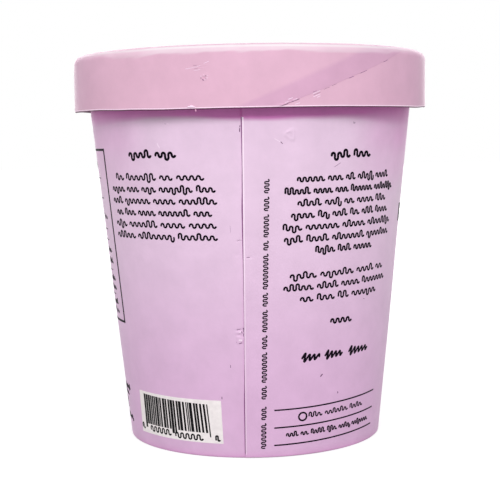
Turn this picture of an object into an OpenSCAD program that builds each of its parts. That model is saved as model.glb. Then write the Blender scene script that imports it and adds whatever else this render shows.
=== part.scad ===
// Shut paperboard ice cream tub of one pint.
// A tapered cup is wound from one blank, lapped down its side and rolled into a bead at
// the mouth. A pan of board is crimped into its foot. The pressed-on lid is a wound band,
// lapped on the slant and hemmed at its lower edge, whose bead holds a flat panel down on
// the cup's rim. The tub is shut and full, so the cup is solid inside.

/* [Cup] */
// Height of the cup, from the table to the top of its rolled rim
cup_h = 101.5; // [80:0.5:130]
// Outside diameter of the wall where it meets the table
base_d = 70.4; // [56:0.2:80]
// Outside diameter of the wall just under the rolled rim
mouth_d = 91; // [84:0.2:110]
// Thickness of the board that the cup is wound from
board = 0.45; // [0.3:0.05:0.7]
// Radius of the bead that the rim is rolled into
rim_r = 1.3; // [1:0.05:2]

/* [Foot] */
// Depth of the pan's panel above the table
base_recess = 6; // [5:0.1:9]
// Height of the edge of the wall that is turned in over the pan
turn_in_h = 4.8; // [2.5:0.1:4.8]
// Radius of the pan's corner, between its panel and its skirt
pan_corner_r = 0.5; // [0.3:0.05:0.7]

/* [Side seam] */
// Angle of the lapped edge round the cup, from the front (-Y) towards +X
seam_angle = -3.6; // [-180:0.2:180]
// Lean of the lapped edge, with its top towards +X
seam_lean = 0.6; // [-2:0.1:2]
// Angle over which the lapped layer runs out into the round of the wall
seam_run_out = 40; // [25:1:60]

/* [Lid] */
// Height of the lid, from its hem to the top of its bead
lid_h = 15.4; // [12:0.1:22]
// Thickness of the lid's folded band
band_t = 1.05; // [0.7:0.05:1.6]
// Depth of the panel below the top of the bead
panel_recess = 3; // [2.8:0.1:5]
// Thickness of the panel
panel_t = 1; // [0.6:0.1:1.6]
// Width of the bead round the panel
bead_w = 3.6; // [3.6:0.1:6]
// Radius of the bead's outer shoulder
shoulder_r = 2.2; // [1:0.1:2.2]
// Radius of the bead's inner corner
lip_r = 1; // [0.4:0.1:1]
// Clearance between the lid and the cup's rim, and round the panel and the pan
fit_gap = 0.3; // [0.1:0.05:0.5]

/* [Lid lap] */
// Thickness of the lapped layer on the band
lap_t = 0.3; // [0.15:0.05:0.4]
// Width of the lapped strip, square to its own run
lap_w = 4; // [2:0.1:6]
// Slope of the lapped strip, up towards +X
lap_slope = 22; // [15:1:60]
// Angle round the lid to the middle of the lapped strip, from the front (-Y) towards +X
lap_angle = 25; // [-180:1:180]

/* [Hidden] */

$fn = 180;
cup_colour = "#E3C0DC";
board_colour = "#EFE4EA";
lid_colour = "#E4B9D2";

// The wall is a cone, measured at the height of the rolled rim's centre.
rim_z = cup_h - rim_r;
function wall_r(z) = (base_d + (mouth_d - base_d) * z / rim_z) / 2;
taper = atan((mouth_d - base_d) / 2 / rim_z);

// The wall's edge, the pan's skirt and the turned-in layer are pressed into one foot,
// which is rounded at both folds and flat between them.
foot_layers = 3;
function layer_r(z, layers) = wall_r(z) - layers * board / cos(taper);
fold_r = board;
fold_out_x = wall_r(fold_r) - fold_r / cos(taper);
fold_in_x = layer_r(fold_r, foot_layers) + fold_r / cos(taper);
floor_z = base_recess + board;

// The rim rolls outwards from the wall's inner face.
rim_mid_x = wall_r(rim_z) - board + rim_r;

// The eccentric cone that stands one board proud at the seam and meets the wall again
// where the lap has run out.
seam_inset = board * cos(seam_run_out) / (1 - cos(seam_run_out));
seam_shift = seam_inset + board;

// The lid takes its size from the cup's rim.
band_in_r = rim_mid_x + rim_r + fit_gap;
band_out_r = band_in_r + band_t;
panel_z = cup_h;
panel_top = panel_z + panel_t;
lid_top = panel_top + panel_recess;
lid_z = lid_top - lid_h;
bead_in_r = band_out_r - bead_w;
hem_r = band_t / 2;
hem_x = band_in_r + hem_r;

// A block that takes in every point of the tub on one side of its axis
reach = 2 * band_out_r + cup_h;

module cup_section() {
    polygon([
        [0, floor_z],
        [layer_r(floor_z, 1), floor_z],
        [layer_r(turn_in_h, 1), turn_in_h],
        [layer_r(turn_in_h, foot_layers), turn_in_h],
        [fold_in_x - fold_r * cos(taper), fold_r + fold_r * sin(taper)],
        [fold_in_x, 0],
        [fold_out_x, 0],
        [fold_out_x + fold_r * cos(taper), fold_r - fold_r * sin(taper)],
        [wall_r(rim_z), rim_z],
        [rim_mid_x, rim_z],
        [rim_mid_x, cup_h],
        [0, cup_h]
    ]);
    translate([fold_in_x, fold_r]) circle(r = fold_r);
    translate([fold_out_x, fold_r]) circle(r = fold_r);
    translate([rim_mid_x, rim_z]) circle(r = rim_r);
}

// The outer layer of the side seam: a sharp edge at the lap, none where it runs out.
// It is kept out of the foot's recess, to the middle of the wall's own layer.
module seam_lap() {
    rotate([0, 0, seam_angle]) difference() {
        translate([0, -seam_shift, fold_r])
            cylinder(h = rim_z - fold_r, r1 = wall_r(fold_r) - seam_inset,
                     r2 = wall_r(rim_z) - seam_inset);
        translate([0, 0, cup_h / 2]) rotate([0, seam_lean, 0])
            translate([-reach, -reach, -reach]) cube([reach, 2 * reach, 2 * reach]);
        cylinder(h = floor_z, r1 = layer_r(0, 1 / 2), r2 = layer_r(floor_z, 1 / 2));
    }
}

module cup() {
    color(cup_colour) union() {
        rotate_extrude() cup_section();
        seam_lap();
    }
}

// The pan's panel, with its edge turned down onto the turned-in layer of the wall
module base_pan() {
    skirt_r = layer_r(turn_in_h, 1) - fit_gap;
    inner_r = skirt_r - board;
    color(board_colour) rotate_extrude() {
        difference() {
            translate([0, turn_in_h]) square([skirt_r, floor_z - turn_in_h]);
            translate([-1, turn_in_h - 1])
                square([inner_r - pan_corner_r + 1, base_recess - turn_in_h + 1]);
            translate([inner_r - pan_corner_r - 0.01, turn_in_h - 1])
                square([pan_corner_r + 0.01, base_recess - turn_in_h + 1 - pan_corner_r]);
            translate([inner_r - pan_corner_r, base_recess - pan_corner_r])
                circle(r = pan_corner_r);
        }
    }
}

// The quarter of a round that fills a corner; sx and sz point out of the corner
module corner(x, z, radius, sx, sz) {
    translate([x - sx * radius, z - sz * radius]) intersection() {
        circle(r = radius);
        translate([min(sx, 0) * radius, min(sz, 0) * radius]) square(radius);
    }
}

// Section of the band: a hemmed skirt below and the bead above
module band_section() {
    translate([band_in_r, lid_z + hem_r])
        square([band_t, lid_top - shoulder_r - lid_z - hem_r]);
    translate([hem_x, lid_z + hem_r]) circle(r = hem_r);
    translate([bead_in_r, panel_top]) square([bead_w, panel_recess - shoulder_r]);
    translate([bead_in_r, panel_top])
        square([bead_w - shoulder_r, panel_recess - lip_r]);
    translate([bead_in_r + lip_r, panel_top])
        square([bead_w - shoulder_r - lip_r, panel_recess]);
    corner(bead_in_r, lid_top, lip_r, -1, 1);
    corner(band_out_r, lid_top, shoulder_r, 1, 1);
}

// Section of the layer lapped over the band: it follows the hem and the shoulder, stops
// just short of the fold and is pressed flat with the bead's top.
module lap_section() {
    fold_z = lid_z + hem_r;
    low_z = lid_z + hem_r / 2;
    intersection() {
        union() {
            translate([hem_x, fold_z])
                square([hem_r + lap_t, lid_top - shoulder_r - fold_z]);
            corner(band_out_r + lap_t, lid_z - lap_t, hem_r + lap_t, 1, -1);
            corner(band_out_r + lap_t, lid_top + lap_t, shoulder_r + lap_t, 1, 1);
        }
        translate([bead_in_r, low_z]) square([bead_w + lap_t, lid_top - low_z]);
    }
}

// The slanted strip in which the band's two ends lie over each other
module lap_strip() {
    rotate([0, 0, lap_angle]) translate([0, 0, lid_z + lid_h / 2])
        rotate([0, -lap_slope, 0]) translate([-reach, -2 * band_out_r, -lap_w / 2])
            cube([2 * reach, 1.5 * band_out_r, lap_w]);
}

module lid_band() {
    color(lid_colour) union() {
        rotate_extrude() band_section();
        intersection() {
            rotate_extrude() lap_section();
            lap_strip();
        }
    }
}

module lid_panel() {
    color(lid_colour) translate([0, 0, panel_z]) cylinder(h = panel_t, r = band_in_r - fit_gap);
}

cup();
base_pan();
lid_band();
lid_panel();
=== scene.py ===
"""Looks of a shut paperboard ice cream tub: wound cup, pressed-on lid, print and frost."""

import itertools
import math
import random

import bmesh
import bpy
from mathutils import Matrix, Vector, noise


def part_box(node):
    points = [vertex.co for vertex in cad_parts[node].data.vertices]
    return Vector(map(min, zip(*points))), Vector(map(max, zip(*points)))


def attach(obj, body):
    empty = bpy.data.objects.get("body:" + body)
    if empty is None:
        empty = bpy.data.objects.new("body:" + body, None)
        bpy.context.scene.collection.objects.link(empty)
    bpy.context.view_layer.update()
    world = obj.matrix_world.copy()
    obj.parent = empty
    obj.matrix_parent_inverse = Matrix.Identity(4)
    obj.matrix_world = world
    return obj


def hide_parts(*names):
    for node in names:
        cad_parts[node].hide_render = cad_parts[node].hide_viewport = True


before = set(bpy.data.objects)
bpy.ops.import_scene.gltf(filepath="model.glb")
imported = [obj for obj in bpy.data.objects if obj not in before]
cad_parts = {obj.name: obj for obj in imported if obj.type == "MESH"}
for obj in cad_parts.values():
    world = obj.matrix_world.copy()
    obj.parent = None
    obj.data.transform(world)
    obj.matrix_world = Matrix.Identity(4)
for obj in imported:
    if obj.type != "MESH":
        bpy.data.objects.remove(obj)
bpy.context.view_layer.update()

# ---------------------------------------------------------------- the cup's wall
# One blank of coated paperboard, wound into a cone and glued in a lap down the side, folded
# in at the foot and rolled outwards into a bead at the mouth. Full and shut, so solid.

MM = 0.001
FOOT_R = 35.2 * MM           # the wall's outside radius at the table
MOUTH_R = 45.5 * MM          # and just under the rolled rim
BOARD = 0.45 * MM            # thickness of the board
LAYERS = 3                   # boards in the foot: wall, pan's skirt and turned-in edge
RIM_R = 1.3 * MM             # radius of the rolled bead
CUP_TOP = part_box("cup")[1].z
RIM_Z = CUP_TOP - RIM_R
FLOOR_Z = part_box("base_pan")[1].z
TURN_IN_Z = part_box("base_pan")[0].z
TAPER = math.atan((MOUTH_R - FOOT_R) / RIM_Z)

SEAM_ANGLE = -3.2            # degrees round from the front (-Y) towards +X, at mid height
SEAM_LEAN = 0.7              # degrees from upright
LAP_RUN_OUT = 40.0           # degrees over which the lapped layer meets the round again
LIP = 0.5                    # degrees of pale cut edge that shows at the lap
GLUE_SHADE = 0.4                   # degrees of dark line of glue and painted shade beside it
EDGE = 0.004                 # half the width of the step between them, in degrees
# The lap isn't pressed down evenly: height in millimetres, and how wide the dark line of glue and
# painted shade shows.
GLUE_SHADE_SHOWS = [(0, 1.1), (9, 1.2), (14, 1.35), (21, 0.75), (26, 0.4), (40, 0.4), (45, 0.6),
              (50, 0.75), (55, 1.0), (60, 1.2), (65, 1.4), (71, 0.9), (76, 0.65), (80, 0.85),
              (86, 1.1), (90, 1.1)]


def wall_r(z):
    """Outside radius of the wall's cone at a height."""
    return FOOT_R + (MOUTH_R - FOOT_R) * z / RIM_Z


def seam_angle(z):
    """Angle of the lapped edge at a height: it leans a little."""
    across = math.tan(math.radians(SEAM_LEAN)) * (z - CUP_TOP / 2)
    return SEAM_ANGLE + math.degrees(across / wall_r(z))


def at(angle, r, z):
    """A point by its angle round from the front, its radius and its height."""
    return Vector((r * math.sin(math.radians(angle)), -r * math.cos(math.radians(angle)), z))


def hump(x, middle, width):
    """A smooth hump, 1 at its middle."""
    return math.exp(-((x - middle) / width) ** 2)


def lap_rise(turn):
    """How far the lapped outer layer stands out, by the angle past the seam."""
    if not 0 <= turn <= LAP_RUN_OUT:
        return 0.0
    run_out = math.cos(math.radians(LAP_RUN_OUT))
    inset = BOARD * run_out / (1 - run_out)
    return (inset + BOARD) * math.cos(math.radians(turn)) - inset


# Pinches beside the seam, from glueing and gripping: distance round the wall from the seam,
# height, half length, half thickness and depth, all in millimetres.
PINCHES = [
    (-1.3, 34.1, 0.9, 0.20, -0.20), (-1.3, 33.4, 0.9, 0.26, 0.16),
    (-1.4, 32.7, 0.6, 0.20, -0.14), (-0.4, 33.4, 0.2, 1.00, -0.24),
    (-1.4, 57.0, 0.8, 0.30, -0.10), (1.6, 52.9, 0.8, 0.22, -0.10),
    (-1.6, 53.4, 0.5, 0.40, -0.08), (30.0, 34.1, 2.2, 0.25, -0.05),
    (-38.0, 48.3, 1.6, 0.20, -0.05),
]
# Blisters in the coating: angle, height, radius and rise, in degrees and millimetres.
BLISTERS = [
    (12.9, 83.3, 1.15, 0.30), (12.5, 84.1, 0.45, 0.30), (11.0, 82.0, 0.7, 0.07),
    (29.4, 75.6, 0.8, 0.06), (36.9, 82.0, 0.4, 0.10), (55.0, 85.0, 1.1, 0.05),
    (-32.0, 81.5, 0.7, 0.05), (-21.0, 85.2, 1.0, 0.05), (-5.4, 31.5, 0.75, 0.24),
]


def wall_relief(turn, z):
    """Rise of the wall over its cone: the lap and its edge, pinches, blisters, slow waves."""
    along = math.radians(turn) * wall_r(z) / MM
    up = z / MM
    rise = lap_rise(turn) / MM
    if 0 <= turn < 20:           # the cut edge is crimped up, with a faint crease past it
        rise += 0.12 * math.exp(-along / 0.25) - 0.04 * hump(along, 1.1, 0.15)
    elif -20 < turn < 0:         # and the layer below is pressed in beside it
        rise -= 0.15 * math.exp(along / 0.20)
    for x, y, length, thick, depth in PINCHES:
        if abs(along - x) < 3 * length and abs(up - y) < 3 * thick + 1:
            rise += depth * hump(along, x, length) * hump(up, y + 0.1 * (along - x), thick)
    angle = turn + seam_angle(z)
    for middle, y, radius, height in BLISTERS:
        if abs(angle - middle) < 6 and abs(up - y) < 3:
            across, over = math.radians(angle - middle) * wall_r(z) / MM, up - y
            away = math.hypot(across, over) / radius
            away *= 1 + 0.22 * math.sin(3 * math.atan2(over, across) + 5 * middle)
            rise += height * (0.6 * hump(away, 0.9, 0.28) + 0.7 * hump(away, 0, 0.55))
    angle = math.radians(turn)
    rise += 0.05 * math.sin(5 * angle + 1.0) * math.sin(up / 17 + 0.6)
    rise += 0.03 * math.sin(11 * angle + up / 9)
    return rise * MM


def arc(centre_r, centre_z, radius, start, end, steps):
    """Points of an arc in a section, angles in degrees up from the outward direction."""
    turns = [math.radians(start + (end - start) * i / steps) for i in range(steps + 1)]
    return [(centre_r + radius * math.cos(t), centre_z + radius * math.sin(t)) for t in turns]


def graded(low, high, step, zones=()):
    """Places from low to high at a step, closer where a zone (from, to, step) says."""
    places = [low]
    while places[-1] < high - step * 1e-6:
        here = min([s for a, b, s in zones if a - step < places[-1] < b] + [step])
        places.append(min(places[-1] + here, high))
    return places


def wound(turns, section, place):
    """A closed skin: a section's points carried all the way round. A point on the axis
    stays one point. place(turn, index) gives each point."""
    bm = bmesh.new()
    rings = []
    for i, (r, _) in enumerate(section):
        if r == 0:
            rings.append([bm.verts.new(place(turns[0], i))] * len(turns))
        else:
            rings.append([bm.verts.new(place(turn, i)) for turn in turns])
    for low, high in itertools.pairwise(rings):
        for k in range(len(turns)):
            n = (k + 1) % len(turns)
            bm.faces.new(list(dict.fromkeys([low[k], low[n], high[n], high[k]])))
    return bm


def new_piece(name, bm, *materials):
    """A mesh object made from a bmesh, riding on the tub."""
    mesh = bpy.data.meshes.new(name)
    bmesh.ops.recalc_face_normals(bm, faces=bm.faces)
    bm.to_mesh(mesh)
    bm.free()
    mesh.shade_smooth()
    mesh.set_sharp_from_angle(angle=math.radians(38))
    piece = bpy.data.objects.new(name, mesh)
    bpy.context.collection.objects.link(piece)
    for material in materials:
        mesh.materials.append(material)
    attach(piece, "root")
    return piece


def linear(hex_colour):
    """sRGB hex to linear RGBA."""
    parts = [int(hex_colour[i:i + 2], 16) / 255 for i in (1, 3, 5)]
    return [c / 12.92 if c <= 0.04045 else ((c + 0.055) / 1.055) ** 2.4 for c in parts] + [1.0]


MIX_A, MIX_B, MIXED = 6, 7, 2    # a Mix node's sockets for two colours, and its result


def node(tree, kind, links=(), settings=(), **sockets):
    """Adds a node: its settings, the values of its sockets, and its links from outputs."""
    made = tree.nodes.new(kind)
    for key, value in dict(settings).items():
        setattr(made, key, value)
    for key, value in sockets.items():
        made.inputs[key.replace("_", " ")].default_value = value
    for socket, source in links:
        tree.links.new(source, made.inputs[socket])
    return made


def new_finish(name, **sockets):
    """A new material with its shader's own values set: the material, its node tree, its
    shader, and the coordinates that its patterns are laid out in."""
    material = bpy.data.materials.new(name)
    material.use_nodes = True
    tree = material.node_tree
    shader = tree.nodes["Principled BSDF"]
    for key, value in sockets.items():
        shader.inputs[key.replace("_", " ")].default_value = value
    return material, tree, shader, node(tree, "ShaderNodeTexCoord").outputs["Object"]


def coated_board(name, foot_colour, top_colour, low_z, high_z, roughness, sheen=0.12,
                 grain_depth=0.02 * MM, deep=None, deep_colour="#FFFFFF", painted_highlight=None):
    """Clay-coated paperboard, offset printed and faced with polyethylene: satin, with a
    faint mottle where the fibres lie in clumps. Its colour changes with height. The
    mesh's attributes say where it is darker, by a colour that multiplies it, for deeper ink and
    for painted shade, and where a pale colour is painted over it as a highlight."""
    material, tree, shader, where = new_finish(name, IOR=1.5, Specular_IOR_Level=sheen)
    split = node(tree, "ShaderNodeSeparateXYZ", [("Vector", where)])
    height = node(tree, "ShaderNodeMapRange", [("Value", split.outputs["Z"])],
                  {"interpolation_type": "SMOOTHERSTEP"}, From_Min=low_z, From_Max=high_z)
    ramp = node(tree, "ShaderNodeMix", [("Factor", height.outputs["Result"])],
                {"data_type": "RGBA"})
    ramp.inputs[MIX_A].default_value = linear(foot_colour)
    ramp.inputs[MIX_B].default_value = linear(top_colour)
    # Clumps of fibre are about 7 mm across, with finer ones of 1.5 mm in them.
    clumps = node(tree, "ShaderNodeTexNoise", [("Vector", where)],
                  Scale=1 / (7 * MM), Detail=5.0, Roughness=0.62)
    shade = node(tree, "ShaderNodeMapRange", [("Value", clumps.outputs["Fac"])],
                 From_Min=0.25, From_Max=0.75, To_Min=0.945, To_Max=1.055)
    tint = node(tree, "ShaderNodeMix",
                [(MIX_A, ramp.outputs[MIXED]), (MIX_B, shade.outputs["Result"])],
                {"data_type": "RGBA", "blend_type": "MULTIPLY"}, Factor=1.0)
    colour = tint.outputs[MIXED]
    if deep:
        layer = node(tree, "ShaderNodeAttribute", settings={"attribute_name": deep})
        over = node(tree, "ShaderNodeMix", [("Factor", layer.outputs["Fac"]), (MIX_A, colour)],
                    {"data_type": "RGBA", "blend_type": "MULTIPLY"})
        over.inputs[MIX_B].default_value = linear(deep_colour)
        colour = over.outputs[MIXED]
    if painted_highlight:
        # A pale colour painted over it, as a highlight.
        highlight_layer = node(tree, "ShaderNodeAttribute", settings={"attribute_name": painted_highlight})
        highlight_mix = node(tree, "ShaderNodeMix", [("Factor", highlight_layer.outputs["Fac"]), (MIX_A, colour)],
                    {"data_type": "RGBA"})
        highlight_mix.inputs[MIX_B].default_value = linear("#E6DDE2")
        colour = highlight_mix.outputs[MIXED]
    tree.links.new(colour, shader.inputs["Base Color"])
    # The film's grain is about 0.3 mm, drawn at 0.8 mm so that it shows.
    grain = node(tree, "ShaderNodeTexNoise", [("Vector", where)], Scale=1 / (0.8 * MM), Detail=3.0)
    gloss = node(tree, "ShaderNodeMapRange", [("Value", grain.outputs["Fac"])],
                 To_Min=roughness - 0.07, To_Max=roughness + 0.07)
    tree.links.new(gloss.outputs["Result"], shader.inputs["Roughness"])
    relief = node(tree, "ShaderNodeBump", [("Height", grain.outputs["Fac"])],
                  Distance=grain_depth)
    tree.links.new(relief.outputs["Normal"], shader.inputs["Normal"])
    return material


def fine_finish(name, colour, roughness, grain_size, **sockets):
    """A finish of one colour, with a grain of the given size in its tone and its gloss."""
    material, tree, shader, where = new_finish(name, **sockets)
    grain = node(tree, "ShaderNodeTexNoise", [("Vector", where)], Scale=1 / grain_size, Detail=2.0)
    shade = node(tree, "ShaderNodeMapRange", [("Value", grain.outputs["Fac"])],
                 From_Min=0.25, From_Max=0.75, To_Min=0.94, To_Max=1.06)
    tint = node(tree, "ShaderNodeMix", [(MIX_B, shade.outputs["Result"])],
                {"data_type": "RGBA", "blend_type": "MULTIPLY"}, Factor=1.0)
    tint.inputs[MIX_A].default_value = linear(colour)
    tree.links.new(tint.outputs[MIXED], shader.inputs["Base Color"])
    gloss = node(tree, "ShaderNodeMapRange", [("Value", grain.outputs["Fac"])],
                 To_Min=roughness - 0.06, To_Max=roughness + 0.06)
    tree.links.new(gloss.outputs["Result"], shader.inputs["Roughness"])
    return material


# The cup's stock under its flood of lilac ink: satin, deeper in tone towards the foot, with
# painted shade where its attribute says.
cup_board = coated_board("lilac_printed_board", "#DAB3D5", "#E2C6DE", 0.0, 80 * MM, 0.46,
                         deep="mouth", deep_colour="#F6AAE4")
# Die-cut edge of the board: bare, fluffy fibre, lighter than the print.
cut_edge = coated_board("die_cut_board_edge", "#E5C7E0", "#F6E0F2", 0.0, 80 * MM, 0.75)
# Glue and shade in the crevice of the lap: a thin dark line.
glue_and_shade = fine_finish("glue_and_painted_shade_in_the_lap", "#8C5988", 0.6, 0.4 * MM)

# Where the skin is finer, for the wall's relief and the print's edges: from height to height
# in millimetres and the step between rings, and the same round the wall in degrees.
RING_STEP = 1.2
FINE_RINGS = [(23.5, 25.5, 0.4), (29.5, 35.5, 0.22), (52, 58, 0.3), (74.5, 76.5, 0.4),
              (80.5, 88.4, 0.28)]
FINE_TURNS = [(0, 1.2, LIP / 2), (1.2, 5, 0.3), (14, 19, 0.3), (32, 34, 0.4)]
# The section runs out along the floor, down inside the foot, round its fold, up the wall, and
# over the rolled rim to the axis.
taper_turn = math.degrees(TAPER)
fold_out = wall_r(BOARD) - BOARD / math.cos(TAPER)
fold_in = wall_r(BOARD) - (LAYERS * BOARD - BOARD) / math.cos(TAPER)
cup_section = (
    [(0, FLOOR_Z), (wall_r(FLOOR_Z) - BOARD, FLOOR_Z), (wall_r(TURN_IN_Z) - BOARD, TURN_IN_Z),
     (wall_r(TURN_IN_Z) - LAYERS * BOARD, TURN_IN_Z)]
    + arc(fold_in, BOARD, BOARD, 180 - taper_turn, 270, 6)
    + arc(fold_out, BOARD, BOARD, 270, 360 - taper_turn, 6))
first_wall = len(cup_section) - 2
cup_section += [(wall_r(z), z) for z in graded(
    1 * MM, RIM_Z - RING_STEP * MM, RING_STEP * MM,
    [(low * MM, high * MM, step * MM) for low, high, step in FINE_RINGS])]
last_wall = len(cup_section)
cup_section += arc(MOUTH_R - BOARD + RIM_R, RIM_Z, RIM_R, -150, 90, 16) + [(0, CUP_TOP)]
cup_turns = (
    graded(EDGE, 80, 0.9, FINE_TURNS)
    + graded(82, 278, 2.0) + graded(279, 350, 1.0)
    + graded(350.4, 360 - 2 * GLUE_SHADE, 0.3) + [360 - GLUE_SHADE, 360 - EDGE])


def between(rows, x):
    """A value from rows of (place, value), eased from each row to the next."""
    for (start, low), (end, high) in itertools.pairwise(rows):
        if start <= x <= end:
            t = (x - start) / (end - start)
            return low + (high - low) * t * t * (3 - 2 * t)
    return rows[-1][1]


def cup_point(turn, i):
    """A point of the cup's skin, by its angle past the seam and its place in the section."""
    r, z = cup_section[i]
    if turn == 360 - GLUE_SHADE:
        turn = 360 - GLUE_SHADE * between(GLUE_SHADE_SHOWS, z / MM)
    if first_wall <= i < last_wall:
        r += wall_relief(turn if turn < 180 else turn - 360, z)
    return at(seam_angle(z) + turn, r, z)


def turn_of(point):
    """A point's angle past the seam, from -180 to 180 degrees."""
    angle = math.degrees(math.atan2(point.x, -point.y)) - seam_angle(point.z)
    return (angle + 180) % 360 - 180


cup = new_piece("cup_wall", wound(cup_turns, cup_section, cup_point),
                cup_board, cut_edge, glue_and_shade)
LAP_LOW, LAP_HIGH = 0.8 * MM, 87.8 * MM      # the lap's edge shows between these
for face in cup.data.polygons:
    if LAP_LOW < face.center.z < LAP_HIGH:
        turn = turn_of(face.center)
        face.material_index = 1 if -EDGE < turn < LIP else 2 if -GLUE_SHADE < turn < 0 else 0
# A ring of painted shade at the mouth under the lid's edge, in a deeper colour: by
# angle, the height in millimetres at which the ring starts, and over how many it sets in.
RING_FOOT = [(-180, 86.0), (-62, 86.2), (-45, 87.1), (-33, 87.8), (-20, 87.5), (-5, 86.7),
             (5, 86.5), (18, 86.9), (32, 86.9), (56, 85.4), (180, 86.0)]
RING_FADE = [(-180, 3.4), (-62, 3.2), (-45, 1.8), (-33, 1.0), (5, 1.0), (18, 1.1), (32, 1.5),
             (56, 3.8), (180, 3.4)]
# High up, the sides are painted darker than the front as shade: how much deeper they are, by
# angle from the front, and how much of that shows, by height in millimetres.
SIDE_SHADE = [(-180, 0.2), (-75, 0.2), (-54, 0.16), (-32, 0), (32, 0), (54, 0.2), (68, 0.34),
           (110, 0.2), (180, 0.2)]
SIDE_SHADE_HIGH = [(0, 0), (66, 0), (76, 0.8), (83, 1.5), (102, 1.5)]
FOOT_SHADE = 0.4                  # along the foot it is painted darker as shade, up to this height
FOOT_SHADE_HIGH = 1.4 * MM
# The attribute holds painted shade: the ring at the mouth, the sides high up, and the foot.
mouth = cup.data.attributes.new("mouth", "FLOAT", "POINT")
for vert, amount in zip(cup.data.vertices, mouth.data):
    angle = math.degrees(math.atan2(vert.co.x, -vert.co.y))
    up = vert.co.z / MM - between(RING_FOOT, angle) + 0.2 * noise.noise(vert.co / (9 * MM))
    ring = min(1.0, max(0.0, up / between(RING_FADE, angle)))
    side_shade = between(SIDE_SHADE, angle) * between(SIDE_SHADE_HIGH, vert.co.z / MM)
    foot_shade = FOOT_SHADE * max(0.0, 1 - vert.co.z / FOOT_SHADE_HIGH)
    amount.value = max(ring + (1 - ring) * side_shade, foot_shade)
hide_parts("cup")

# ---------------------------------------------------------------- the pan in the foot
# A disc of white board, its edge turned down and caught between the wall and the wall's
# turned-in edge. It is not printed.

# Bare white board under its film: a soft, plain white.
pan_board = coated_board("white_coated_board", "#EFE4EA", "#EFE4EA", 0.0, FLOOR_Z, 0.55)
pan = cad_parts["base_pan"]
pan.data.materials.clear()
pan.data.materials.append(pan_board)

# ---------------------------------------------------------------- the lid's band
# A strip of coated board wound into a ring and glued on the slant, folded under at its
# lower edge, and rolled in over the panel at the top, which puckers it into a soft shoulder.

BAND_OUT = 49.0 * MM         # the band's outside radius
BAND_T = 1.05 * MM           # thickness of its two layers of board
BAND_IN = BAND_OUT - BAND_T
SHOULDER_R = 2.2 * MM        # outer radius of the rolled-in bead
LIP_R = 1.0 * MM             # and its inner one
BEAD_W = 3.6 * MM            # how far the bead reaches in
HEM_R = BAND_T / 2
LID_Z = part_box("lid_band")[0].z
LID_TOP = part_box("lid_band")[1].z
PANEL_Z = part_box("lid_panel")[1].z
SHOULDER_Z = LID_TOP - SHOULDER_R

# The lid's stock under its flood of pink ink: a closer, smoother satin than the cup's, with a
# painted highlight on the shoulder and painted shade on the flanks where the band's attributes
# say.
lid_board = coated_board("pink_printed_board", "#DAAFC5", "#DAAFC5", LID_Z, LID_TOP, 0.34, 0.05,
                         0.006 * MM, painted_highlight="painted_highlight", deep="lapped", deep_colour="#F4EFF7")
# The hem's fold, painted pale: a painted highlight along the band's lower edge.
hem_highlight = fine_finish("painted_highlight_on_the_fold", "#FFE0F4", 0.5, 0.6 * MM)
# Under the fold: a dark plum, painted shade.
hem_shade = fine_finish("painted_shade_under_the_fold", "#5A2248", 0.6, 0.6 * MM)

# The band's outer end is glued over its inner end on the slant. The end of the layer below
# shows as a soft step on the upper side; on the lower side is the cut edge, open in places.
LAP_T = 0.05 * MM
SOFT_EDGE = (-6.0, 2.83)     # degrees from the front at the hem, and degrees per millimetre up
CUT_EDGE = (7.3, 3.27)
SLIT = 0.0015                # width of an open slit, as a part of the way round
SLITS = [(90.6, 91.15, 1.6), (91.35, 91.6, 1.2), (91.75, 92.1, 1.0), (97.0, 97.4, 0.4),
         (98.1, 98.7, 0.5), (101.1, 101.7, 0.4)]     # from height to height in mm, and how far
POCK = (-13.1, 97.5, 0.6)    # a knock in the band: angle, height and radius in millimetres

# The section runs down inside, round the hem, up the outside, and in over the bead. It is
# finer at the slits, the knock and the scratches over it.
BAND_RINGS = [(90.6, 92.4, 0.12), (96, 98.4, 0.25), (99.2, 101.2, 0.12)]
band_section = (
    [(BAND_IN, PANEL_Z)]
    + arc(BAND_IN + HEM_R, LID_Z + HEM_R, HEM_R, 180, 360, 12)
    + [(BAND_OUT, z) for z in graded(
        LID_Z + HEM_R + 0.2 * MM, SHOULDER_Z - 0.4 * MM, 0.5 * MM,
        [(low * MM, high * MM, step * MM) for low, high, step in BAND_RINGS])]
    + arc(BAND_OUT - SHOULDER_R, SHOULDER_Z, SHOULDER_R, 0, 90, 14)
    + arc(BAND_OUT - BEAD_W + LIP_R, LID_TOP - LIP_R, LIP_R, 90, 180, 8)
    + [(BAND_OUT - BEAD_W, PANEL_Z), (BAND_IN, PANEL_Z)])
HEM_UNDER = range(1, 11)     # steps of the section that face down, and the fold's outer side
HEM_FOLD = range(11, 13)
# Places round the band: 0 to 1 across the lap, then 1 to 2 for the rest of the way.
band_turns = ([k / 16 for k in range(15)] + [0.92, 0.96, 0.985, 1.0]
              + [1.00001, 1 + SLIT, 1 + 1.6 * SLIT]
              + graded(1.006, 2 - 0.003, 0.003, [(1.895, 1.925, 0.0008)]))


def lap_edges(z):
    """Angles of the lap's soft edge and of its cut edge at a height."""
    up = (z - LID_Z) / MM
    return [at_hem + slant * up for at_hem, slant in (SOFT_EDGE, CUT_EDGE)]


def band_angle(turn, z):
    """Angle round from the front of a place round the band, at a height."""
    soft_edge, cut_side = lap_edges(z)
    if turn <= 1:
        return soft_edge + (cut_side - soft_edge) * turn
    return cut_side + (soft_edge + 360 - cut_side) * (turn - 1)


def lap_lift(turn, z):
    """Rise of the lap over the band, with the cut edge curled up where it is open."""
    open_by = max(amount * hump(z / MM, (a + b) / 2, (b - a) / 2) for a, b, amount in SLITS)
    if turn <= 1:
        step = min(1.0, turn / 0.6)
        curl = 0.12 * MM * open_by * max(0, turn - 0.8) / 0.2
        return LAP_T * step * step * (3 - 2 * step) + curl
    return -0.35 * MM * open_by if turn < 1 + 0.5 * SLIT else 0.0


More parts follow.
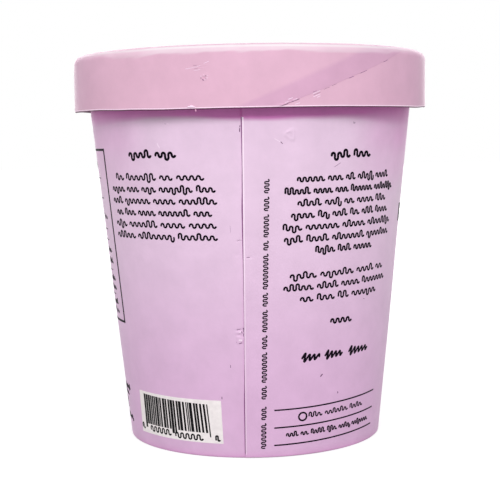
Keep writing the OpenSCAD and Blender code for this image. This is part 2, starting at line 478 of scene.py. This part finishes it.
def band_relief(angle, z):
    """Unevenness of the band: slow waves, puckers where it is rolled in, and one knock."""
    turn = math.radians(angle)
    up = (z - LID_Z) / (LID_TOP - LID_Z)
    rise = 0.04 * math.sin(3 * turn + 0.5) + 0.02 * math.sin(7 * turn + 4 * up) - 0.17
    high = max(0.0, up - 0.62) / 0.38
    rise += 0.09 * high * (math.sin(13 * turn + 2 * math.sin(5 * turn))
                           + 0.6 * math.sin(29 * turn + 3 * math.sin(7 * turn)) - 0.9)
    away = math.hypot(math.radians(angle - POCK[0]) * BAND_OUT / MM, z / MM - POCK[1]) / POCK[2]
    if away < 3:
        rise += 0.08 * hump(away, 1, 0.4) - 0.16 * hump(away, 0, 0.5)
    scratched = hump(angle, -14.3, 1.6) * hump(z / MM, 100.2, 0.55)
    rise += 0.05 * scratched * math.sin(2 * math.pi * (z / MM - 0.06 * angle) / 0.5)
    return rise * MM


# The lid was pressed on by hand, so its hem isn't level: angle, and rise in millimetres.
HEM_LEVEL = [(-180, 1.0), (-100, 0.8), (-78, 0.26), (-55, 0.13), (-40, -0.18), (-25, -0.42),
             (0, -0.40), (31, -0.30), (62, -0.20), (80, 0.28), (102, 1.0), (180, 1.0)]


def hem_lift(angle, z):
    """How far the hem rides up or down at an angle, and the band with it."""
    rise = between(HEM_LEVEL, (angle + 180) % 360 - 180)
    return rise * MM * (1 - min(1.0, max(0.0, (z - LID_Z) / (SHOULDER_Z - LID_Z))))


def highlight_paint(angle, z):
    """How much pale colour is painted where the band is rolled in over the panel, as its
    highlight: a wavy zone, widest at the front, with a paler line along the crest."""
    angle = (angle + 180) % 360 - 180
    round_it = Vector((3 * math.sin(math.radians(angle)), 3 * math.cos(math.radians(angle)), 0))
    wave = 1.3 * noise.noise(round_it * 1.3) + 0.7 * noise.noise(round_it * 5)
    side = min(1.0, max(0.0, (abs(angle) - 25) / 50))
    low = 103.2 + 0.7 * wave + 1.0 * side * side
    low -= 0.2 * hump(angle, -25, 25) + 0.15 * hump(angle, 42, 12)
    zone = min(1.0, max(0.0, (z / MM - low) / 0.4))
    line = hump(z / MM, 104.8 + 0.12 * wave, 0.3) * (1 - side * side)
    crest = max(0.0, 1 - max(0.0, z / MM - 105.1) / 0.15)
    return min(1.0, max(0.0, (0.42 - 0.40 * side) * zone * (1 + 0.5 * wave) + 0.55 * line) * crest)


def band_point(turn, i):
    """A point of the band's skin, by its place round the band and in the section."""
    r, z = band_section[i]
    angle = band_angle(turn, z)
    if HEM_FOLD.start - 4 <= i < len(band_section) - 1:      # the outside and the bead
        relief = band_relief((angle + 180) % 360 - 180, z) + lap_lift(turn, z)
        r += relief * min(1.0, (i - HEM_FOLD.start + 5) / 5)
    return at(angle, r, z + hem_lift(angle, z))


band = new_piece("lid_band_skin", wound(band_turns, band_section, band_point),
                 lid_board, hem_highlight, hem_shade, glue_and_shade)
places = len(band_turns)
for face in band.data.polygons:
    row, column = divmod(face.index, places)
    z = band_section[row][1] / MM
    # An open slit in the lap's cut edge is painted dark as the shade under its lifted edge.
    slit = 1 <= band_turns[column] < 1 + SLIT and any(a <= z < b for a, b, _ in SLITS)
    # The fold takes the painted highlight and the rows under it the painted shade.
    face.material_index = (1 if row in HEM_FOLD else 2 if row in HEM_UNDER
                           else 3 if slit and row > max(HEM_FOLD) else 0)
# The ink is deeper where the band is double, and everywhere but at the front the band is painted
# darker as shade.
lapped = band.data.attributes.new("lapped", "FLOAT", "POINT")
for vert, amount in zip(band.data.vertices, lapped.data):
    turn = band_turns[vert.index % places]
    angle = math.degrees(math.atan2(vert.co.x, -vert.co.y))
    double = min(1.0, turn / 0.2) if turn <= 1 else 0.0
    past_front = angle - 30 if angle > 0 else -45 - angle
    side_shade = 0.7 * min(1.0, max(0.0, past_front / 35))
    amount.value = max(double, side_shade)
# Along the rolled shoulder a pale colour is painted as its highlight.
painted_highlight = band.data.attributes.new("painted_highlight", "FLOAT", "POINT")
for vert, amount in zip(band.data.vertices, painted_highlight.data):
    amount.value = highlight_paint(math.degrees(math.atan2(vert.co.x, -vert.co.y)), vert.co.z)
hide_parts("lid_band")

# ---------------------------------------------------------------- the lid's panel
# A flat disc die-cut from the same board, with its print up. It lies on the cup's rim, and
# the band's rolled bead holds it down.

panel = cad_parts["lid_panel"]
panel.data.materials.clear()
panel.data.materials.append(lid_board)

# ---------------------------------------------------------------- the printed panels
# Plum ink, offset printed on the blank before it is wound. Set text is stood for by plain
# running lines, one to a word, in centred rows; thin rules and a frame part the panels.

INK_RISE = 0.035 * MM         # how far the ink stands off the board, and how far it sinks in
INK_ROOT = 0.05 * MM
LINE = 3.04 * MM              # from one line of set text to the next
# Dense satin ink on the film, almost black, with a faint grain where it lies on the fibres.
ink = fine_finish("plum_offset_ink", "#0E0713", 0.5, 0.5 * MM, Specular_IOR_Level=0.03)


def on_wall(angle, z, rise):
    """A point over the wall's own relief, by its angle from the front and its height."""
    turn = (angle - seam_angle(z) + 180) % 360 - 180
    return at(angle, wall_r(z) + wall_relief(turn, z) + rise, z)


def on_band(angle, z, rise):
    """The same over the lid's band."""
    soft_edge, cut_side = lap_edges(z)
    turn = (angle - soft_edge) / (cut_side - soft_edge)
    lift = lap_lift(turn, z) if 0 <= turn <= 1 else 0.0
    return at(angle, BAND_OUT + band_relief(angle, z) + lift + rise, z + hem_lift(angle, z))


def stroke(bm, path, width, rise=INK_RISE, skin=on_wall, skin_r=wall_r):
    """A closed mark along a path of (angle, height) on the wall, or on another skin."""
    corners = [Vector((math.radians(a) * skin_r(z), z)) for a, z in path]
    points = [corners[0]]
    for start, end in itertools.pairwise(corners):
        steps = max(1, math.ceil((end - start).length / (1.2 * MM)))
        points += [start.lerp(end, i / steps) for i in range(1, steps + 1)]
    legs = [(b - a).normalized() for a, b in itertools.pairwise(points)]
    ways = legs[:1] + [(a + b).normalized() for a, b in itertools.pairwise(legs)] + legs[-1:]
    rows = [(point, way, width / 2) for point, way in zip(points, ways)]
    for t in (math.radians(35), math.radians(68)):      # each end is rounded off in two steps
        reach, half = width / 2 * math.sin(t), width / 2 * math.cos(t)
        rows.insert(0, (points[0] - ways[0] * reach, ways[0], half))
        rows.append((points[-1] + ways[-1] * reach, ways[-1], half))
    rings = []
    for point, way, half in rows:
        side = Vector((-way.y, way.x)) * half
        ring = []
        for offset, lift in ((side, rise), (-side, rise), (-side, -INK_ROOT), (side, -INK_ROOT)):
            x, z = point + offset
            ring.append(bm.verts.new(skin(math.degrees(x / skin_r(z)), z, lift)))
        rings.append(ring)
    for low, high in itertools.pairwise(rings):
        for k in range(4):
            bm.faces.new([low[k], low[k - 3], high[k - 3], high[k]])
    bm.faces.new(rings[0])
    bm.faces.new(rings[-1])


def patch(bm, left, right, low, high, rise, lean=(0.0, 0.0)):
    """A closed thin field on the wall, from angle to angle and from height to height. lean is
    how far round its head stands from its foot, at its left and right edges, in degrees."""
    columns = max(2, round((right - left) / 1.2)) + 1
    parts = [i / (columns - 1) for i in range(columns)]
    rings = [[bm.verts.new(on_wall(
        left + (right - left) * t + (lean[0] + (lean[1] - lean[0]) * t if z == high else 0),
        z, lift)) for z, lift in (
        (low, rise), (high, rise), (high, -INK_ROOT), (low, -INK_ROOT))] for t in parts]
    for one, two in itertools.pairwise(rings):
        for k in range(4):
            bm.faces.new([one[k], one[k - 3], two[k - 3], two[k]])
    bm.faces.new(rings[0])
    bm.faces.new(rings[-1])


TALL_STEMS, DEEP_STEMS = 0.26, 0.08     # shares of the stems that reach past the others
OVERREACH = 0.38                        # and how far, as a part of the height


def word_mark(bm, place, start, letters, pitch, tall, weight, dice=None):
    """A word of set text, stood for by one line that runs up and down, two stems to a letter,
    with round turns; dice make a stem reach higher or lower here and there, as in set text.
    place(along, up) gives the angle and height of a point of the line."""
    turn = pitch / 4
    straight = (tall - weight) / 2 - turn
    path = [place(start, -straight)]
    for stem in range(2 * letters):
        side = 1 if stem % 2 == 0 else -1
        longer = dice and dice.random() < (TALL_STEMS, DEEP_STEMS)[stem % 2]
        reach = straight + (OVERREACH * tall if longer else 0)
        middle = start + (2 * stem + 1) * turn
        for k in range(6):
            angle = math.pi * (1 - k / 5)
            path.append(place(middle + turn * math.cos(angle),
                              side * (reach + turn * math.sin(angle))))
    path.append(place(start + 4 * letters * turn, -straight))
    stroke(bm, path, weight)


WORD_GAP = 0.8                # in letters


def text_line(bm, centre, z, width, dice, tall=1.50 * MM, letter=1.52 * MM, weight=0.50 * MM,
              climb=0.0):
    """A line of set text, filled out to a width: the words' lengths are made up. z is the
    height of its foot. climb is how much the line rises for each millimetre to the right."""
    words = [dice.choice((2, 3, 4, 5))]
    while (sum(words) + WORD_GAP * len(words)) * letter < width - 2.5 * letter:
        words.append(dice.choice((2, 3, 3, 4, 4, 5, 6, 7)))
    pitch = width / (sum(words) + WORD_GAP * (len(words) - 1))

    def place(along, up):
        return (centre + math.degrees(along / wall_r(z)), z + tall / 2 + up + climb * along)

    start = -width / 2
    for letters in words:
        word_mark(bm, place, start, letters, pitch, tall, weight, dice)
        start += (letters + WORD_GAP) * pitch


# Each panel has a bold heading over rows of text, all centred. Widths are in millimetres.
LEFT, RIGHT = -36.2, 36.5     # middles of the two columns of text, degrees from the front
bm = bmesh.new()
dice = random.Random(7)
HEAD = {"tall": 1.75 * MM, "letter": 1.60 * MM, "weight": 0.68 * MM}
text_line(bm, LEFT, 77.85 * MM, 15.4 * MM, dice, **HEAD)
for k, width in enumerate((29.8, 35.2, 35.4, 32.3, 34.1, 34.2)):
    text_line(bm, LEFT, 72.15 * MM - k * LINE, width * MM, dice)
text_line(bm, RIGHT, 77.2 * MM, 13.0 * MM, dice, climb=0.012, **HEAD)
for k, width in enumerate((31, 37, 30, 33, 37, 36, 19)):
    text_line(bm, RIGHT, 71.6 * MM - k * LINE, width * MM, dice, climb=0.020)
for k, width in enumerate((32, 35, 26)):
    text_line(bm, RIGHT, 47.15 * MM - k * LINE, width * MM, dice, climb=0.028)
text_line(bm, RIGHT - 0.5, 34.4 * MM, 6.9 * MM, dice, tall=1.62 * MM, weight=0.58 * MM,
          climb=0.01)
words = new_piece("printed_text", bm, ink)

# Three pen strokes, where the makers of such a tub like to sign off: plain waves that die
# down from left to right. Start and end in degrees, and how many waves.

bm = bmesh.new()
for start, end, waves in ((18.8, 26.2, 3.5), (29.0, 37.4, 4.0), (41.2, 52.4, 5.0)):
    path = []
    for t in (i / 72 for i in range(73)):
        up = (0.6 + 0.85 * math.exp(-4 * t)) * math.sin(2 * math.pi * waves * t)
        lean = 0.7 * up
        z = 26.1 + 0.016 * (start - 19 + (end - start) * t) + up
        path.append((start + (end - start) * t + lean, z * MM))
    stroke(bm, path, 0.55 * MM)
pen = new_piece("printed_pen_strokes", bm, ink)

# Three rules near the foot, with a line of small text under each of the first two; the
# plate for the print was set on the slant, so they climb to the right.

RULE = 0.38 * MM              # thickness of a rule
bm = bmesh.new()
for z in (12.75, 8.03, 3.35):
    stroke(bm, [(7.9 + 53.6 * t, (z + 1.15 * t ** 1.4) * MM) for t in (i / 24 for i in range(25))],
           RULE)
SMALL = {"tall": 1.15 * MM, "letter": 1.06 * MM, "weight": 0.38 * MM}
text_line(bm, 37.4, 10.35 * MM, 18.8 * MM, dice, climb=0.030, **SMALL)
text_line(bm, 35.3, 5.65 * MM, 28.0 * MM, dice, climb=0.024, **SMALL)
for k in range(12):           # a plain ring before the first of them
    stroke(bm, [(19.7 + 1.75 * math.sin(math.radians(30 * (k + i))),
                 (10.55 + 1.08 * math.cos(math.radians(30 * (k + i)))) * MM) for i in (0, 1)],
           1.2 * RULE)
# The frame of a panel of facts, mostly round on the left, with plain rows in it: a rule
# between groups, a line of text at the left, and a short bold one at the right.
for path, width in (([(-65.2, 80.2), (-65.2, 33.4)], 0.8), ([(-65, 80.2), (-112, 80.2)], 0.62),
                    ([(-112, 80.2), (-112, 33.4)], 0.8), ([(-65, 33.4), (-112, 33.4)], 0.62)):
    stroke(bm, [(a, z * MM) for a, z in path], width * MM)
for z in (72.5, 67.0, 58.5, 55.5, 47.2, 40.5):
    stroke(bm, [(-74.5, z * MM), (-109.6, z * MM)], 0.25 * MM)
for z, width in ((75.8, 22), (69.2, 14), (61.2, 16), (52.0, 12), (49.0, 15), (44.2, 11),
                 (41.7, 14), (37.7, 16), (35.2, 12)):
    text_line(bm, -109.4 + math.degrees(width / 2 * MM / wall_r(z * MM)), z * MM, width * MM,
              dice, **SMALL)
    if z < 66:
        text_line(bm, -75.0, z * MM, 4.4 * MM, dice, tall=1.3 * MM, letter=1.1 * MM,
                  weight=0.55 * MM)
# Small rows below it, by their height and the angle of their right end.
for z, end in ((13.9, -69.0), (12.1, -72.5), (10.1, -78.0), (7.9, -79.0), (5.2, -70.5)):
    text_line(bm, end - 12, z * MM, 15 * MM, dice, **SMALL)
# A plain mark on the side towards the front of the pack.
patch(bm, 75.8, 82.0, 59.4 * MM, 64.3 * MM, INK_RISE)


def up_the_wall(along, up):
    """Small text that runs up the wall just right of the seam, and drifts from it."""
    return (3.2 + 2.0 * along / (72.3 * MM) - math.degrees(up / wall_r(along)), along)


SMALL_PITCH = 1.105 * MM
z = 2.7 * MM
for letters in (6, 3, 0, 3, 7, 3, 5, 3, 8, 2, 5, 3, 3):     # letters in each word, 0 for a gap
    if letters:
        word_mark(bm, up_the_wall, z, letters, SMALL_PITCH, 1.40 * MM, 0.33 * MM)
    z += (letters + 1.0) * SMALL_PITCH
rules = new_piece("printed_rules", bm, ink)

# ---------------------------------------------------------------- the bar code's place
# A field left unprinted, so that the board's own cream shows, with bars of made-up widths in
# black ink. Short running lines under them stand for the digits.

CODE_LEFT, CODE_RIGHT = -59.2, -13.5      # degrees from the front
CODE_LOW, CODE_HIGH = 3.7 * MM, 15.3 * MM
# The bare clay coating under its film: cream, satin.
bare_coating = fine_finish("bare_clay_coating", "#EFE8E8", 0.5, 1.2 * MM, Specular_IOR_Level=0.25)
# Black ink on it: flat, dense and dull.
code_ink = fine_finish("black_offset_ink", "#08080B", 0.5, 0.5 * MM, Specular_IOR_Level=0.08)


def set_square(angle):
    """How far round the head of an upright line in the field stands from its foot: the field
    is square on the flat blank, and the blank is wound into a cone."""
    return 0.55 - 1.55 * (angle + 55) / 36


bm = bmesh.new()
patch(bm, CODE_LEFT, CODE_RIGHT, CODE_LOW, CODE_HIGH, 0.02 * MM, lean=(1.1, -0.3))
field = new_piece("code_field", bm, bare_coating)

bm = bmesh.new()
dice = random.Random(1319)
MODULE = 0.42                 # width of the thinnest bar, in degrees
SPREAD = 0.3                  # how much wider the ink makes each bar, in modules
BARS_END = -18.6
angle = -55.4
while angle < BARS_END - MODULE:
    bar = (dice.choice((1, 2, 2, 3)) + SPREAD) * MODULE
    guard = angle < -54.5 or angle > -20 or abs(angle + 37) < 1.0     # these reach lower
    foot = 5.3 if guard else 6.4
    head = 14.6 - 0.5 * (angle + 54) / 37
    lean = set_square(angle)
    patch(bm, angle, angle + bar, foot * MM, head * MM, INK_RISE, lean=(lean, lean))
    angle += bar + (dice.choice((1, 1, 2)) - SPREAD) * MODULE
for middle, letters, pitch, z in ((-57.5, 1, 1.2, 5.5), (-45.2, 5, 1.6, 5.3),
                                  (-29.3, 5, 1.66, 5.0), (-15.8, 1, 1.1, 5.1)):
    word_mark(bm, lambda along, up: (middle + math.degrees(along / FOOT_R), z * MM + up),
              -letters * pitch / 2 * MM, letters, pitch * MM, 1.80 * MM, 0.46 * MM)
bars = new_piece("code_bars", bm, code_ink)

# ---------------------------------------------------------------- nicks, specks and painted light
# Small cuts, lifted spots and specks of dirt on the film, from handling, and painted shade and
# highlights along creases and blisters: each a line or dot well under a millimetre wide, and
# part of the board's surface. Each has a path of angles and heights, and a width in millimetres.

# Dirt rubbed into cut film, and painted shade in creases and at the lap's lifted edge: dull plum
# grey.
grime_and_shade = fine_finish("dirt_and_painted_shade_in_the_film", "#6E4A6E", 0.7, 0.4 * MM, Specular_IOR_Level=0.2)
# Film lifted off the print, and painted highlights on creases and on the lap's lifted edge: a
# milky lilac.
lifts_and_highlights = fine_finish("lifted_film_and_painted_highlights", "#EED6EA", 0.5, 0.4 * MM, Specular_IOR_Level=0.2)
# Dark marks: nicks and dirt, and painted shade in creases by the seam and at blisters.
NICKS_AND_SHADES = [
    ([(-3.35, 85.7), (-3.40, 85.3)], 0.18), ([(-3.45, 85.0), (-3.50, 84.2)], 0.22),
    ([(-6.3, 34.1), (-5.4, 34.2), (-4.0, 34.5)], 0.16), ([(-3.7, 34.5), (-3.75, 32.4)], 0.28),
    ([(-6.5, 30.9), (-5.6, 30.5), (-4.6, 30.7)], 0.18), ([(-4.6, 33.6), (-4.3, 33.3)], 0.20),
    ([(-5.4, 56.9), (-4.5, 57.2), (-3.7, 57.1)], 0.07), ([(-2.0, 52.8), (-1.0, 52.8)], 0.13),
    ([(-7.7, 60.8), (-7.5, 60.0), (-7.6, 59.1)], 0.04), ([(36.1, 86.2), (37.1, 86.1)], 0.10),
    ([(9.8, 81.5), (10.3, 81.1)], 0.18), ([(-9.25, 24.8), (-9.3, 24.2)], 0.13),
    ([(27.2, 20.8), (27.9, 21.3)], 0.30), ([(36.3, 15.9), (36.4, 15.6)], 0.24),
    ([(-13.3, 16.3), (-13.3, 15.8)], 0.20), ([(47.6, 40.1), (48.0, 40.0)], 0.16),
    ([(36.2, 85.9), (37.0, 85.85)], 0.07), ([(-29.1, 86.5), (-28.7, 86.45)], 0.07),
    ([(29.1, 75.05), (30.3, 75.5), (31.6, 76.0)], 0.08)]
# Where the film has lifted off the ink it is paler; some of these are painted highlights on
# creases and blisters.
LIFTS_AND_HIGHLIGHTS = [
    ([(-5.5, 31.4), (-4.7, 31.4)], 0.45), ([(-5.6, 33.5), (-4.9, 33.6)], 0.18),
    ([(7.8, 82.3), (9.4, 81.6)], 0.2), ([(-2.1, 52.3), (-0.2, 52.4)], 0.12),
    ([(-32.7, 81.6), (-32.4, 81.1), (-31.9, 80.5)], 0.26), ([(-30.4, 87.5), (-29.9, 87.4)], 0.13),
    ([(-28.1, 86.5), (-27.6, 86.4)], 0.15)]
# On the lid's band the film is frayed in short dashes along the lap, in flecks round the knock
# and in ripples over it, with dirt between some of them; along the lap's lifted cut edge the
# pale dashes are its painted highlight and the dark ones its painted shade.
SOILED_AND_SHADED = [
    ([(18.4, 93.75), (19.4, 94.0)], 0.06), ([(18.5, 93.0), (20.6, 93.65)], 0.06),
    ([(21.8, 94.35), (23.5, 94.85)], 0.05), ([(24.4, 95.2), (25.8, 95.65)], 0.05),
    ([(-14.0, 97.45), (-13.9, 97.3)], 0.12), ([(-13.4, 97.05), (-13.2, 96.95)], 0.28),
    ([(-13.4, 97.85), (-13.3, 97.75)], 0.08), ([(-12.55, 98.0), (-12.5, 97.9)], 0.10),
    ([(-12.5, 97.3), (-12.5, 97.15)], 0.10), ([(-16.1, 100.4), (-15.2, 100.35)], 0.05),
    ([(-15.9, 99.6), (-14.9, 99.65)], 0.04)]
FRAYED_AND_HIGHLIGHTS = [
    ([(11.0, 92.1), (12.2, 92.4)], 0.14), ([(12.4, 91.85), (13.5, 92.2)], 0.14),
    ([(12.9, 90.9), (14.3, 91.2)], 0.14), ([(10.0, 91.3), (10.9, 91.55)], 0.12),
    ([(18.4, 93.3), (20.5, 94.0)], 0.14), ([(18.5, 92.6), (20.5, 93.25)], 0.14),
    ([(19.6, 92.45), (20.6, 92.8)], 0.14), ([(-14.0, 97.9), (-13.9, 97.8)], 0.18),
    ([(-13.1, 98.15), (-12.95, 97.8)], 0.14), ([(-12.3, 97.5), (-12.1, 97.4)], 0.14),
    ([(-12.85, 97.0), (-12.65, 97.0)], 0.12), ([(-12.0, 98.0), (-11.9, 97.9)], 0.12),
    ([(-18.6, 99.65), (-17.2, 99.8), (-15.4, 100.05), (-14.1, 100.3)], 0.09),
    ([(-16.0, 99.25), (-14.9, 99.3), (-14.1, 99.5)], 0.07),
    ([(-13.0, 100.8), (-12.1, 101.1), (-11.6, 101.3)], 0.10)]


def film_marks(name, dark, pale, *skin):
    """A piece of dark and of pale marks on a skin: each a path and a width in millimetres."""
    bm = bmesh.new()
    for slot, rows in enumerate((dark, pale)):
        done = len(bm.faces)
        for path, width in rows:
            stroke(bm, [(a, z * MM) for a, z in path], width * MM, 0.02 * MM, *skin)
        for face in list(bm.faces)[done:]:
            face.material_index = slot
    return new_piece(name, bm, grime_and_shade, lifts_and_highlights)


film_marks("nicks_and_painted_crease_light", NICKS_AND_SHADES, LIFTS_AND_HIGHLIGHTS)
film_marks("frayed_film_and_painted_edge_light", SOILED_AND_SHADED, FRAYED_AND_HIGHLIGHTS, on_band, lambda z: BAND_OUT)

# ---------------------------------------------------------------- frost
# A crumb of frost from the freezer, packed against the lid's hem in a few lumps, and a bead
# of melt that hangs under it.

# Packed frost: white, with the pink of the board in it.
frost_white = fine_finish("packed_frost", "#F8DCF0", 0.5, 0.8 * MM, IOR=1.31)
# Pink melt with the print showing through it.
melt = fine_finish("bead_of_melt", "#E8A8CC", 0.3, 0.8 * MM, IOR=1.34)
bm = bmesh.new()
# Angle, radius and height of each middle, half width and half height, and the place that its
# lumpiness is taken from.
for angle, r, z, wide, tall, seed in (
        (-17.0, 48.95, 90.46, 0.55, 0.27, 1), (-17.7, 48.95, 90.38, 0.45, 0.18, 2),
        (-16.3, 48.95, 90.36, 0.40, 0.14, 3), (-15.85, 48.60, 89.49, 0.17, 0.32, 5)):
    grown = bmesh.ops.create_icosphere(bm, subdivisions=3, radius=1.0)["verts"]
    for vert in grown:
        lump = 1 + 0.3 * noise.noise(vert.co * 1.2 + Vector((9.0 * seed, 0, 0)))
        across, out, up = vert.co.x * wide * lump, vert.co.y * 0.22 * lump, vert.co.z * tall * lump
        vert.co = at(angle + math.degrees(across / r), (r - 0.1 - out) * MM, (z + up) * MM)
MELT_TOP = 89.95 * MM
for face in bm.faces:
    face.material_index = 1 if face.calc_center_median().z < MELT_TOP else 0
frost = new_piece("frost_crumbs", bm, frost_white, melt)

# ---------------------------------------------------------------- the studio
# A white paper sweep that runs out of sight, one soft key light from the front and above,
# low fills at the sides, and a camera just above half the tub's height, looking down a bit.

# Matt paper that is as bright as the room wherever it is looked at.
paper = bpy.data.materials.new("white_paper_sweep")
paper.use_nodes = True
tree = paper.node_tree
tree.nodes.clear()


def seen_by_eye(tree):
    """1 for what the camera, a reflection or a see-through part looks at."""
    path = node(tree, "ShaderNodeLightPath")
    either = node(tree, "ShaderNodeMath", [(0, path.outputs["Is Camera Ray"]),
                                           (1, path.outputs["Is Glossy Ray"])],
                  {"operation": "MAXIMUM"})
    return node(tree, "ShaderNodeMath", [(0, either.outputs[0]),
                                         (1, path.outputs["Is Transmission Ray"])],
                {"operation": "MAXIMUM"}).outputs[0]


# Near the tub the paper's own light is less, so that the tub's shadow shows on it.
away = node(tree, "ShaderNodeVectorMath",
            [("Vector", node(tree, "ShaderNodeTexCoord").outputs["Object"])],
            {"operation": "LENGTH"}).outputs["Value"]
lit = node(tree, "ShaderNodeMapRange", [("Value", away)],
           From_Min=0.05, From_Max=0.7, To_Min=0.66, To_Max=0.98)
glow = node(tree, "ShaderNodeMath", [(0, lit.outputs[0]), (1, seen_by_eye(tree))],
            {"operation": "MULTIPLY"})
shine = node(tree, "ShaderNodeEmission", [("Strength", glow.outputs[0])])
matt = node(tree, "ShaderNodeBsdfDiffuse", Color=(0.42, 0.42, 0.42, 1))
both = node(tree, "ShaderNodeAddShader", [(0, shine.outputs[0]), (1, matt.outputs[0])])
node(tree, "ShaderNodeOutputMaterial", [("Surface", both.outputs[0])])
bm = bmesh.new()
bmesh.ops.create_grid(bm, x_segments=1, y_segments=1, size=4.0)
floor_mesh = bpy.data.meshes.new("floor")
bm.to_mesh(floor_mesh)
bm.free()
floor = bpy.data.objects.new("floor", floor_mesh)
bpy.context.collection.objects.link(floor)
floor_mesh.materials.append(paper)

scene = bpy.context.scene
scene.world = bpy.data.worlds.new("white_room")
scene.world.use_nodes = True
tree = scene.world.node_tree
tree.nodes.clear()
level = node(tree, "ShaderNodeMapRange", [("Value", seen_by_eye(tree))], To_Min=0.59, To_Max=1.0)
room = node(tree, "ShaderNodeBackground", [("Strength", level.outputs["Result"])],
            Color=(1, 1, 1, 1))
node(tree, "ShaderNodeOutputWorld", [("Surface", room.outputs[0])])


def softbox(name, azimuth, elevation, distance, size, watts):
    """A soft lamp that faces the middle of the tub, by its bearing from the front."""
    lamp = bpy.data.lights.new(name, "AREA")
    lamp.shape = "RECTANGLE"
    lamp.size, lamp.size_y = size
    lamp.energy = watts
    stand = bpy.data.objects.new(name, lamp)
    bpy.context.collection.objects.link(stand)
    out = at(azimuth, math.cos(math.radians(elevation)), math.sin(math.radians(elevation)))
    stand.location = Vector((0, 0, CUP_TOP / 2)) + out * distance
    stand.rotation_euler = out.to_track_quat("Z", "Y").to_euler()


# Bearing and height in degrees, distance and size in metres, and power in watts.
softbox("key_softbox", 2, 31, 1.1, (0.6, 0.3), 7.8)
softbox("left_softbox", -88, 10, 0.9, (1.0, 0.9), 1.6)
softbox("right_softbox", 88, 10, 0.9, (1.0, 0.9), 0.9)
softbox("back_softbox", 180, 20, 1.1, (1.2, 0.8), 5.2)

# The camera stands in front of the tub and above its middle, and looks 5 degrees down. It was
# held a little turned and rolled, in radians.
STAND_OFF, EYE_HEIGHT = 344.4 * MM, 81.2 * MM
TURN, ROLL = 0.0020, -0.0167
TILT = math.radians(85)      # up from straight down
camera_data = bpy.data.cameras.new("camera")
camera_data.lens = 87.5      # millimetres, on a 36 mm sensor
camera_data.sensor_width = 36
camera = bpy.data.objects.new("camera", camera_data)
bpy.context.collection.objects.link(camera)
camera.matrix_world = (Matrix.Translation((0, -STAND_OFF, EYE_HEIGHT))
                       @ Matrix.Rotation(TURN, 4, "Z") @ Matrix.Rotation(TILT, 4, "X")
                       @ Matrix.Rotation(ROLL, 4, "Z"))
scene.camera = camera
scene.view_settings.view_transform = "Standard"

bpy.context.view_layer.update()
